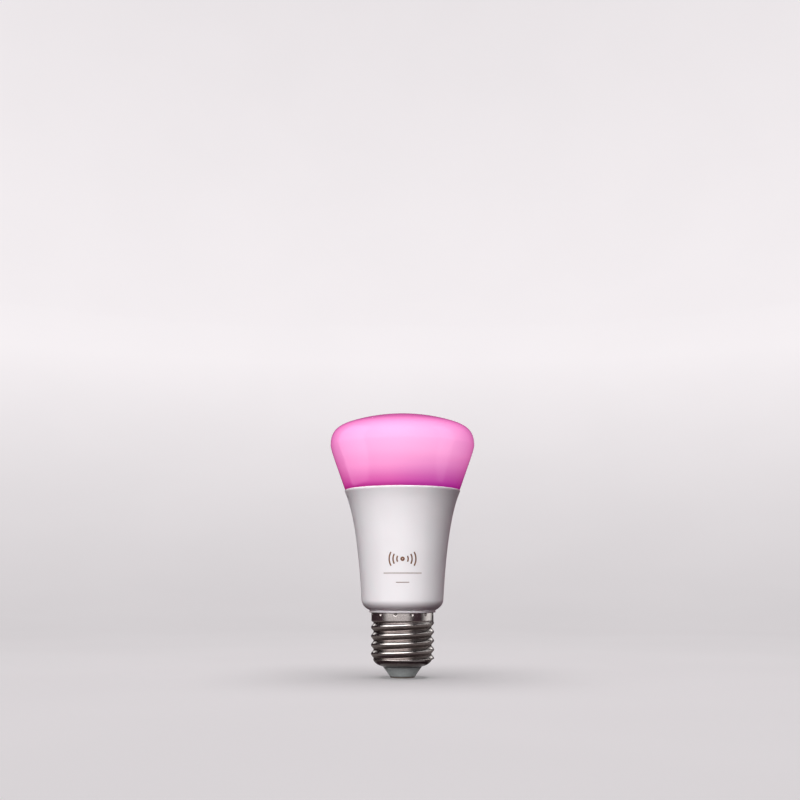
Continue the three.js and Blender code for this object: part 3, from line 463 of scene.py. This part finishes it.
def flare_radius(z):
    """The housing's outside radius at a height on its flare."""
    points = flare(0, 200)
    for (r0, z0), (r1, z1) in zip(points, points[1:]):
        if z0 <= z <= z1:
            return r0 + (r1 - r0) * (z - z0) / (z1 - z0)
    return points[-1][0]


def make_housing():
    shoulder = bezier([(LIP_R - 0.24, SEAT_Z + 0.9), (16.95, SEAT_Z + 2.4), FLARE_LOW], 22)
    inner_shoulder = bezier(
        [(12.22, SEAT_Z + 2.4), (15.35, SEAT_Z + 3.4), FLARE_LOW - Vector((HOUSING_WALL, 0))], 8
    )
    neck = [
        (NECK_BORE, NECK_Z),
        (NECK_R, NECK_Z),
        (NECK_R, SEAT_Z - 3.0),
        (LAND_R, SEAT_Z - 2.7),
        (LAND_R, SEAT_Z - 1.6),
        (THROAT_R, SEAT_Z - 1.6),
        (THROAT_R, SEAT_Z),
    ]
    lip = [
        (LIP_R - 0.28, SEAT_Z),
        (LIP_R - 0.1, SEAT_Z + 0.06),
        (LIP_R - 0.02, SEAT_Z + 0.2),
        (LIP_R, SEAT_Z + 0.55),
        (LIP_R - 0.06, SEAT_Z + 0.72),
        (LIP_R - 0.2, SEAT_Z + 0.8),
        (LIP_R - 0.28, SEAT_Z + 0.86),
    ]
    rim = bezier([FLARE_HIGH, (RIM_R - 0.02, RIM_Z - 0.12), (RIM_R - 0.45, RIM_Z)], 6)
    inner_flare = [p for p in flare(HOUSING_WALL, 24) if p[1] < RIM_Z - RIM_DEPTH - 0.1]
    profile = [
        *neck,
        *lip,
        *shoulder,
        *flare(0, 48)[1:],
        *rim[1:],
        (RIM_R - RIM_WALL, RIM_Z),
        (RIM_R - RIM_WALL, RIM_Z - RIM_DEPTH),
        *inner_flare[::-1],
        *inner_shoulder[::-1][1:],
        (NECK_BORE, SEAT_Z + 2.4),
    ]
    return place(revolve("housing_skin", profile, 192, 38), "housing", housing_material())


INK_LIFTS = (0.02, -0.05)  # its face and its back, out from the housing's surface


def ink_material():
    """Matt brown ink, slightly uneven."""
    m = Nodes("print_ink")
    tone = m.ramp(m.noise(700.0, 3.0), [(0.35, linear(112, 74, 48)), (0.65, linear(132, 92, 66))])
    m.set(Base_Color=tone, Roughness=m.range(m.noise(1500.0, 2.0), 0.3, 0.7, 0.4, 0.52))
    return m.bump(m.noise(5000.0, 2.0), 0.2, 0.000005).material


def printed(name, strips):
    """Ink laid on the housing's front. Each strip is two rows of (across, height) points, in millimetres."""
    vertices, faces = [], []
    for inner, outer in strips:
        start = len(vertices)
        for row in (inner, outer):
            for across, z in row:
                for lift in INK_LIFTS:
                    r = flare_radius(z) + lift
                    a = across / flare_radius(z) - math.pi / 2
                    vertices.append((r * math.cos(a), r * math.sin(a), z))
        n = len(inner)

        def corner(row, i, under):
            return start + 2 * (row * n + i) + under

        for i in range(n - 1):
            faces.append((corner(0, i, 0), corner(1, i, 0), corner(1, i + 1, 0), corner(0, i + 1, 0)))
            faces.append((corner(0, i, 1), corner(0, i + 1, 1), corner(1, i + 1, 1), corner(1, i, 1)))
            faces.append((corner(0, i, 1), corner(0, i, 0), corner(0, i + 1, 0), corner(0, i + 1, 1)))
            faces.append((corner(1, i, 0), corner(1, i, 1), corner(1, i + 1, 1), corner(1, i + 1, 0)))
        for i, flip in ((0, 1), (n - 1, -1)):
            end = (corner(0, i, 0), corner(0, i, 1), corner(1, i, 1), corner(1, i, 0))
            faces.append(end[::flip])
    piece = new_object(name, vertices, faces)
    piece.data.materials.append(ink_material())
    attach(piece, "root")
    return piece


def arc(centre, radius, width, start, end, steps=28):
    """The two edges of a curved stroke, as rows of points. Angles are in degrees."""

    def row(r):
        angles = [math.radians(start + (end - start) * i / steps) for i in range(steps + 1)]
        return [(centre[0] + r * math.cos(a), centre[1] + r * math.sin(a)) for a in angles]

    return row(radius - width / 2), row(radius + width / 2)


def rule(half, z, width, steps=16):
    """The two edges of a level stroke, as rows of points."""
    xs = [half * (2 * i / steps - 1) for i in range(steps + 1)]
    return [(x, z - width / 2) for x in xs], [(x, z + width / 2) for x in xs]


SYMBOL_Z = 48.3
DOT_RADIUS, DOT_WIDTH = 0.55, 0.7
ARC_RADII = (2.3, 3.9, 5.5)
ARC_WIDTH = 0.58
ARC_HALF = 30  # degrees above and below the dot
RULES = ((8.0, 42.6), (2.7, 38.9))  # half length, height
RULE_WIDTH = 0.26


def make_print():
    """A plain symbol for a lamp that is called by radio: a dot between arcs, over two rules."""
    middle = (0.0, SYMBOL_Z)
    strips = [arc(middle, DOT_RADIUS, DOT_WIDTH, 0, 360)]
    for radius in ARC_RADII:
        for side in (0, 180):
            strips.append(arc(middle, radius, ARC_WIDTH, side - ARC_HALF, side + ARC_HALF))
    strips += [rule(half, z, RULE_WIDTH) for half, z in RULES]
    return printed("housing_print", strips)


# ---------------------------------------------------------------- the screw cap

THREAD_PITCH = 3.629
THREAD_DEPTH = 1.1
THREAD_CREST_Z = 15.05  # height of a crest on the +X side
CREST_R = 13.15
CREST_SHARPNESS = 0.9
ROOT_R = CREST_R - THREAD_DEPTH
THREAD_LOW = 6.9
COLLAR_R = CREST_R - 0.18
COLLAR_LOW = SEAT_Z - 3.3
COLLAR_TOP = SEAT_Z - 0.08
FADE = 0.9  # height over which the thread runs out, at the collar and at the foot
SHELL_WALL = 0.35
MOUTH_R = 7.8
CRIMP_COUNT = 12
CRIMP_ANGLE = 17  # degrees from +X to the first crimp
CRIMP_Z = SEAT_Z - 0.62
CRIMP_DEPTH = 0.4
CRIMP_FLAT, CRIMP_R = 0.2, 0.7
CRIMPS = [math.radians(CRIMP_ANGLE + 360 / CRIMP_COUNT * i) for i in range(CRIMP_COUNT)]


def shell_radius(z, angle):
    """The cap shell's outside radius: a right-handed thread, and a plain collar with crimps pressed in."""
    turns = (z - THREAD_CREST_Z) / THREAD_PITCH - angle / (2 * math.pi)
    swell = 0.5 + 0.5 * math.cos(2 * math.pi * turns)
    wave = ROOT_R + THREAD_DEPTH * swell**CREST_SHARPNESS
    collar = smoothstep(COLLAR_LOW - FADE, COLLAR_LOW, z)
    foot = 1 - smoothstep(THREAD_LOW, THREAD_LOW + FADE, z)
    r = wave + collar * (COLLAR_R - wave) + foot * (ROOT_R - wave)
    if z > COLLAR_LOW:
        for crimp in CRIMPS:
            across = ((angle - crimp + math.pi) % (2 * math.pi) - math.pi) * COLLAR_R
            distance = math.hypot(across, z - CRIMP_Z)
            if distance < CRIMP_R:
                r -= CRIMP_DEPTH * (1 - smoothstep(CRIMP_FLAT, CRIMP_R, distance))
    return r


def shell_material():
    """Nickel plate over rolled steel: fine lines round the axis, a painted highlight on the crests and
    painted shade in the valleys.
    """
    m = Nodes("cap_nickel")
    x, y, _ = m.axes()
    radius = m.math("SQRT", m.math("ADD", m.math("MULTIPLY", x, x), m.math("MULTIPLY", y, y)))
    # The crest mask lightens the crests as a painted highlight and darkens the valleys as painted shade; it
    # also makes the crests a little glossier.
    crest = m.range(radius, (ROOT_R + 0.1) * MM, (CREST_R - 0.15) * MM)
    lines = m.noise(1.0, 6.0, 0.7, (60, 60, 5200))
    smear = m.noise(1.0, 3.0, 0.6, (90, 90, 260))
    # The valleys' colour is painted shade and the crests' colour a painted highlight; the smear varies both
    # at random.
    valley_painted_shade = m.ramp(smear, [(0.3, linear(100, 90, 88)), (0.7, linear(126, 115, 112))])
    crest_painted_highlight = m.ramp(smear, [(0.3, linear(192, 184, 181)), (0.7, linear(212, 205, 202))])
    streaks = m.math("ADD", m.math("MULTIPLY", lines, 0.6), m.math("MULTIPLY", smear, 0.4))
    gloss = m.math("SUBTRACT", m.range(streaks, 0.3, 0.7, 0.2, 0.34), m.math("MULTIPLY", crest, 0.07))
    m.set(Base_Color=m.mix(crest, valley_painted_shade, crest_painted_highlight), Roughness=gloss, Metallic=1.0)
    return m.bump(lines, 0.12, 0.000012).material


def make_shell():
    swing = 0.7  # share of the foot's width where its curve turns up
    foot = bezier(
        [
            (MOUTH_R, MOUTH_Z),
            (MOUTH_R + swing * (ROOT_R - MOUTH_R), MOUTH_Z + SHELL_WALL),
            (ROOT_R, THREAD_LOW),
        ],
        14,
    )
    inner_foot = bezier(
        [
            (MOUTH_R, MOUTH_Z + SHELL_WALL),
            (MOUTH_R + swing * (ROOT_R - MOUTH_R - SHELL_WALL), MOUTH_Z + 2 * SHELL_WALL),
            (ROOT_R - SHELL_WALL, THREAD_LOW),
        ],
        6,
    )
    thread_steps, collar_steps, segments = 112, 26, 360
    heights = [THREAD_LOW + (COLLAR_LOW - THREAD_LOW) * (i + 1) / thread_steps for i in range(thread_steps)]
    heights += [COLLAR_LOW + (COLLAR_TOP - COLLAR_LOW) * (i + 1) / collar_steps for i in range(collar_steps)]
    lip = [(COLLAR_R - 0.06, SEAT_Z - 0.01)]
    sections = []
    for k in range(segments):
        a = 2 * math.pi * k / segments
        outside = [(shell_radius(z, a), z) for z in heights]
        inside = [(r - SHELL_WALL, z) for r, z in outside[::-3]]
        section = foot + outside + lip + inside + inner_foot[::-1]
        sections.append([(r * math.cos(a), r * math.sin(a), z) for r, z in section])
    piece = new_object("cap_shell_skin", *grid(sections), 50)
    return place(piece, "cap_shell", shell_material())


def insulator_material():
    """Pressed glass with a ground, slightly mottled surface."""
    m = Nodes("insulator_glass")
    mottle = m.noise(1500.0, 5.0, 0.6)
    tone = m.ramp(mottle, [(0.3, linear(144, 149, 148)), (0.7, linear(155, 160, 159))])
    m.set(Base_Color=tone, Roughness=m.range(mottle, 0.3, 0.7, 0.34, 0.46), IOR=1.5)
    return m.bump(m.noise(1500.0, 4.0), 0.2, 0.00002).material


INSULATOR_BORE = 1.6
INSULATOR_FOOT_R = 5.65
INSULATOR_TOP_R = 8.0  # where the cone meets the cap's mouth
INSULATOR_NECK_R = 7.6  # through the mouth


def make_insulator():
    foot, top = INSULATOR_FOOT_R, INSULATOR_TOP_R
    rounding = bezier(
        [(foot - 0.75, INSULATOR_Z), (foot - 0.1, INSULATOR_Z), (foot + 0.12, INSULATOR_Z + 0.7)], 10
    )
    profile = [
        (INSULATOR_BORE, INSULATOR_Z),
        *rounding,
        (top, MOUTH_Z - 0.22),
        (top + 0.02, MOUTH_Z - 0.06),
        (top - 0.1, MOUTH_Z),
        (INSULATOR_NECK_R, MOUTH_Z),
        (INSULATOR_NECK_R, MOUTH_Z + 0.75),
        (insulator_high.x, MOUTH_Z + 1.1),
        (insulator_high.x, insulator_high.z),
        (INSULATOR_BORE, insulator_high.z),
    ]
    return place(revolve("insulator_skin", profile, 128), "cap_insulator", insulator_material())


CONTACT_RISE = 0.6  # the disc's thickness
STEM_R = 1.4
HEAD_R = 2.4  # of the rivet inside
RING_INNER_R, RING_OUTER_R = 1.7, 2.4
RING_DEPTH = 0.1


def make_contact():
    """A pressed disc with a rolled edge and a shallow ring struck into its face, riveted to the glass."""
    r = CONTACT_R
    edge = bezier([(r - 0.45, 0.0), (r - 0.02, 0.0), (r, 0.3)], 8)
    profile = [
        (0, 0.02),
        (RING_INNER_R, 0.02),
        (RING_INNER_R + 0.2, RING_DEPTH),
        (RING_OUTER_R - 0.2, RING_DEPTH),
        (RING_OUTER_R, 0.0),
        *edge,
        (r, CONTACT_RISE),
        (STEM_R, CONTACT_RISE),
        (STEM_R, insulator_high.z),
        (HEAD_R, insulator_high.z),
        (HEAD_R - 0.1, contact_high.z),
        (0, contact_high.z),
    ]
    # The metal is made darker than bare tin, as painted shade for the shadow under the bulb.
    material = metal("contact_tin", linear(128, 120, 114), 0.3, grain=700.0)
    return place(revolve("contact_skin", profile, 96), "centre_contact", material)


# ---------------------------------------------------------------- the pieces inside

INSIDE = {
    "silicone": lambda n: plastic(n, linear(233, 230, 224), 0.62, 700.0, 0.00004),
    "aluminium": lambda n: metal(n, linear(196, 198, 201), 0.36, (1, 1, 14), 500.0),
    "pad": lambda n: plastic(n, linear(141, 151, 163), 0.8, 1400.0, 0.00003, 0.1),
    "white_board": lambda n: circuit_board(n, linear(242, 242, 238), linear(214, 206, 190)),
    "green_board": lambda n: circuit_board(n, linear(31, 107, 59), linear(196, 164, 92)),
    "warm_white_led": lambda n: package(n, linear(240, 186, 70), linear(244, 240, 226)),
    "cool_white_led": lambda n: package(n, linear(236, 224, 120), linear(244, 242, 232)),
    "red_led": lambda n: package(n, linear(206, 52, 44), linear(240, 236, 230)),
    "green_led": lambda n: package(n, linear(64, 168, 82), linear(240, 240, 232)),
    "blue_led": lambda n: package(n, linear(50, 92, 204), linear(238, 240, 242)),
    "steel": lambda n: metal(n, linear(158, 161, 165), 0.3, (1, 1, 6), 900.0),
    "liner": lambda n: plastic(n, linear(217, 215, 207), 0.55, 1200.0, 0.00002),
    "black_plastic": lambda n: plastic(n, linear(34, 34, 37), 0.46, 2600.0, 0.00002, 0.15),
    "cream_plastic": lambda n: plastic(n, linear(239, 234, 224), 0.45, 2000.0),
    "shield": lambda n: metal(n, linear(203, 206, 208), 0.3, (8, 1, 1), 700.0),
    "copper": lambda n: wound(n, linear(196, 116, 62), 0.35, 0.3, 1.0),
    "ferrite": lambda n: plastic(n, linear(54, 54, 60), 0.58, 3000.0, 0.00004, 0.2),
    "yellow_tape": lambda n: wound(n, linear(228, 186, 58), 1.6, 0.34),
    "can_sleeve": lambda n: wound(n, linear(38, 52, 92), 6.0, 0.32),
    "film_case": lambda n: plastic(n, linear(186, 78, 46), 0.4, 1600.0, 0.00002, 0.1),
    "varistor_coat": lambda n: plastic(n, linear(48, 114, 184), 0.3, 600.0, 0.00006, 0.1),
    "fuse_coat": lambda n: wound(n, linear(116, 146, 110), 1.3, 0.36),
    "red_wire": lambda n: plastic(n, linear(168, 38, 34), 0.42, 1500.0),
    "blue_wire": lambda n: plastic(n, linear(44, 80, 164), 0.42, 1500.0),
}


def finish_inside():
    """Gives the CAD solids inside the bulb their materials."""
    made = {}
    for node, piece in NODES.items():
        slot = SLOTS[node]
        if slot not in INSIDE:
            continue
        if slot not in made:
            made[slot] = INSIDE[slot]("inside_" + slot)
        piece.data.materials.clear()
        piece.data.materials.append(made[slot])
        piece.data.polygons.foreach_set("use_smooth", [True] * len(piece.data.polygons))
        piece.data.set_sharp_from_angle(angle=math.radians(30))


# ---------------------------------------------------------------- the studio

# Lamps, panels and the camera are placed in metres. Sheets turned about Z are in millimetres.
AIM = Vector((0, 0, 0.055))  # the bulb's middle
CAMERA_PLACE = (-0.00103, -0.4692, 0.0366)
CAMERA_TILT = 9.70  # degrees up from level
LENS = 49.5


def make_camera():
    data = bpy.data.cameras.new("camera")
    data.sensor_width = 36.0
    data.lens = LENS
    data.clip_start = 0.01
    camera = bpy.data.objects.new("camera", data)
    camera.location = CAMERA_PLACE
    camera.rotation_euler = (math.radians(90 + CAMERA_TILT), 0, 0)
    bpy.context.scene.collection.objects.link(camera)
    bpy.context.scene.camera = camera


def facing(azimuth, elevation, distance):
    """A place round the bulb. Azimuth 0 is at the camera, and it grows towards +X."""
    a, e = math.radians(azimuth - 90), math.radians(elevation)
    return Vector((math.cos(a) * math.cos(e), math.sin(a) * math.cos(e), math.sin(e))) * distance + AIM


def receivers(name, pieces):
    """A collection of the pieces that one light reaches."""
    linked = bpy.data.collections.new(name + "_receivers")
    for piece in pieces:
        linked.objects.link(bpy.data.objects[piece])
    return linked


def lamp(name, place, target, size, power, colour=(1, 1, 1)):
    """A rectangular lamp, turned to its target."""
    data = bpy.data.lights.new(name, "AREA")
    data.shape = "RECTANGLE"
    data.size, data.size_y = size
    data.energy = power
    data.color = colour
    panel = bpy.data.objects.new(name, data)
    panel.location = place
    panel.rotation_euler = (target - place).to_track_quat("-Z", "Y").to_euler()
    panel.visible_camera = False
    bpy.context.scene.collection.objects.link(panel)
    return panel


def area_light(name, azimuth, elevation, distance, size, power, pieces, colour=(1, 1, 1)):
    """A soft lamp that faces the bulb. It lights only the pieces, and their gloss doesn't show it."""
    panel = lamp(name, facing(azimuth, elevation, distance), AIM, size, power, colour)
    panel.visible_glossy = False
    panel.light_linking.receiver_collection = receivers(name, pieces)


def dome_strip(name, side, near, far, radiance):
    """A tall lamp beside the bulb, from near to far along Y, that shows only in the dome's gloss."""
    low, high = 0.006, 0.27
    place = Vector((side, (near + far) / 2, (low + high) / 2))
    size = (far - near, high - low)
    strip = lamp(name, place, place - Vector((side, 0, 0)), size, radiance * math.pi * size[0] * size[1])
    strip.visible_diffuse = False
    strip.light_linking.receiver_collection = receivers(name, ["dome_skin"])


def staged(name, vertices, faces, material):
    """Part of the studio, which the camera doesn't see and which throws no shadow."""
    piece = new_object(name, vertices, faces, 60)
    piece.data.materials.append(material)
    piece.visible_camera = False
    piece.visible_shadow = False
    return piece


def glowing(name, vertices, faces, colour, strength, material, pieces):
    """A sheet of light that shows only in the gloss of the pieces."""
    material.set(Base_Color=(0, 0, 0, 1), Roughness=1.0, Emission_Color=colour, Emission_Strength=strength)
    sheet = staged(name, vertices, faces, material.material)
    sheet.visible_diffuse = False
    sheet.light_linking.receiver_collection = receivers(name, pieces)


def gloss_panel(name, azimuths, elevations, strength, pieces, edge=14, distance=1.3):
    """A curved panel of light round the bulb, soft at its edges. Angles are in degrees."""
    across, up = 24, 8
    vertices, faces = [], []
    for j in range(up + 1):
        for i in range(across + 1):
            azimuth = azimuths[0] + (azimuths[1] - azimuths[0]) * i / across
            elevation = elevations[0] + (elevations[1] - elevations[0]) * j / up
            vertices.append(facing(azimuth, elevation, distance) / MM)
    for j in range(up):
        for i in range(across):
            k = j * (across + 1) + i
            faces.append((k, k + 1, k + across + 2, k + across + 1))
    m = Nodes(name + "_glow")
    x, y, z = m.axes()
    azimuth = m.math("ARCTAN2", x, m.math("MULTIPLY", y, -1.0))
    left, right = (math.radians(a) for a in azimuths)
    low, high = (AIM.z + distance * math.sin(math.radians(e)) for e in elevations)
    fade = m.between(azimuth, left, right, math.radians(edge))
    rise = m.between(z, low, high, 0.25 * (high - low))
    glowing(name, vertices, faces, (1, 1, 1, 1), m.product(fade, rise, strength), m, pieces)


def turned_sheet(profile, segments=96):
    """A sheet of (radius, height) points turned about Z, open at its first and last ring."""
    vertices, faces = [], []
    for r, z in profile:
        for k in range(segments):
            a = 2 * math.pi * k / segments
            vertices.append((r * math.cos(a), r * math.sin(a), z))
    for j in range(len(profile) - 1):
        for k in range(segments):
            n = (k + 1) % segments
            faces.append((j * segments + k, (j + 1) * segments + k, (j + 1) * segments + n, j * segments + n))
    return vertices, faces


def gloss_ring(name, radii, height, strength, pieces):
    """A flat ring of light just over the ground."""
    inner, outer = radii
    vertices, faces = turned_sheet([(outer, height), (inner, height)])
    glowing(name, vertices, faces, (1.0, 0.88, 0.86, 1.0), strength, Nodes(name + "_glow"), pieces)


def paper_profile(inset):
    """A floor that rises into a wall on a wide curve, moved in from the paper by inset. In millimetres."""
    flat, radius, rise, height = 250.0, 1500.0, 1000.0, 2600.0
    steps = 16
    turns = [i * math.pi / 2 / steps for i in range(steps + 1)]
    bend = rise - inset
    curve = [(radius - rise + bend * math.sin(a), rise - bend * math.cos(a)) for a in turns]
    return [(0.0, inset), (flat, inset)] + curve + [(radius - inset, height)]


def make_backdrop():
    """Pale paper. Its faint glow keeps it pale, the wall as well as the floor."""
    backdrop = new_object("backdrop", *turned_sheet(paper_profile(0.0)), 60)
    m = Nodes("backdrop_paper")
    _, _, z = m.axes()
    tone = m.ramp(m.noise(6.0, 2.0), [(0.3, (0.77, 0.755, 0.765)), (0.7, (0.79, 0.775, 0.785))])
    m.set(Base_Color=tone, Roughness=0.9, Emission_Color=(1.0, 0.98, 0.99, 1.0))
    m.set(Emission_Strength=m.range(z, 0.0, 0.4, 0.2, 0.5))
    backdrop.data.materials.append(m.bump(m.noise(900.0, 3.0), 0.05, 0.00005).material)


def make_surround():
    """A dark cloth just over the paper, so that little light comes back to the bulb from it."""
    hole, lift = 12.0, 1.0
    m = Nodes("surround_cloth")
    m.set(Base_Color=(0.070, 0.040, 0.053, 1.0), Roughness=1.0, Specular_IOR_Level=0.0)
    staged("surround", *turned_sheet([(hole, lift)] + paper_profile(lift)[1:]), m.material)


def make_world():
    world = bpy.data.worlds.new("studio")
    world.use_nodes = True
    background = world.node_tree.nodes["Background"]
    background.inputs["Color"].default_value = (1.0, 0.985, 0.995, 1.0)
    background.inputs["Strength"].default_value = 0.02
    bpy.context.scene.world = world
    bpy.context.scene.view_settings.view_transform = "Standard"
    bpy.context.scene.view_settings.look = "None"


def make_lights():
    """A key from the front left, dim rosy fills and a light from behind. The paper has a lamp of its own."""
    cap = ["cap_shell_skin", "insulator_skin", "contact_skin"]
    body = ["housing_skin", "housing_print"] + cap
    rosy = (1.0, 0.72, 0.82)
    area_light("key", -13, 37, 0.9, (0.8, 0.7), 12.1, body + ["dome_skin", "surround"])
    area_light("right_fill", 140, 18, 1.0, (0.5, 0.8), 4.0, body, rosy)
    area_light("left_fill", -145, 18, 1.0, (0.5, 0.8), 2.8, body, rosy)
    area_light("back", 180, 26, 1.0, (0.5, 0.8), 6.0, body)
    area_light("dome_back", 180, 30, 1.0, (0.25, 0.6), 4.0, ["dome_skin"])
    area_light("overhead", 0, 88, 1.5, (1.6, 1.6), 22.0, ["backdrop"])
    gloss_panel("front_panel", (-100, 44), (12, 52), 5.0, cap, 34)
    gloss_panel("low_front_panel", (-80, 42), (-7.1, -0.6), 1.6, cap, 30, 0.42)
    gloss_panel("low_right_panel", (70, 150), (-7.1, -0.6), 1.7, cap, 34, 0.42)
    gloss_ring("ground_ring", (16.0, 90.0), 2.0, 0.17, ["cap_shell_skin"])
    gloss_panel("side_panel", (50, 132), (2, 42), 0.6, cap)
    gloss_panel("right_panel", (138, 178), (4, 45), 2.2, cap)
    gloss_panel("left_panel", (-178, -142), (4, 45), 2.2, cap)
    dome_strip("dome_strip_left", -0.16, -0.100, 0.067, 1.5)
    dome_strip("dome_strip_right", 0.16, -0.100, -0.020, 1.0)


make_camera()
make_dome()
make_housing()
make_print()
make_shell()
make_insulator()
make_contact()
finish_inside()
make_backdrop()
make_surround()
make_world()
make_lights()
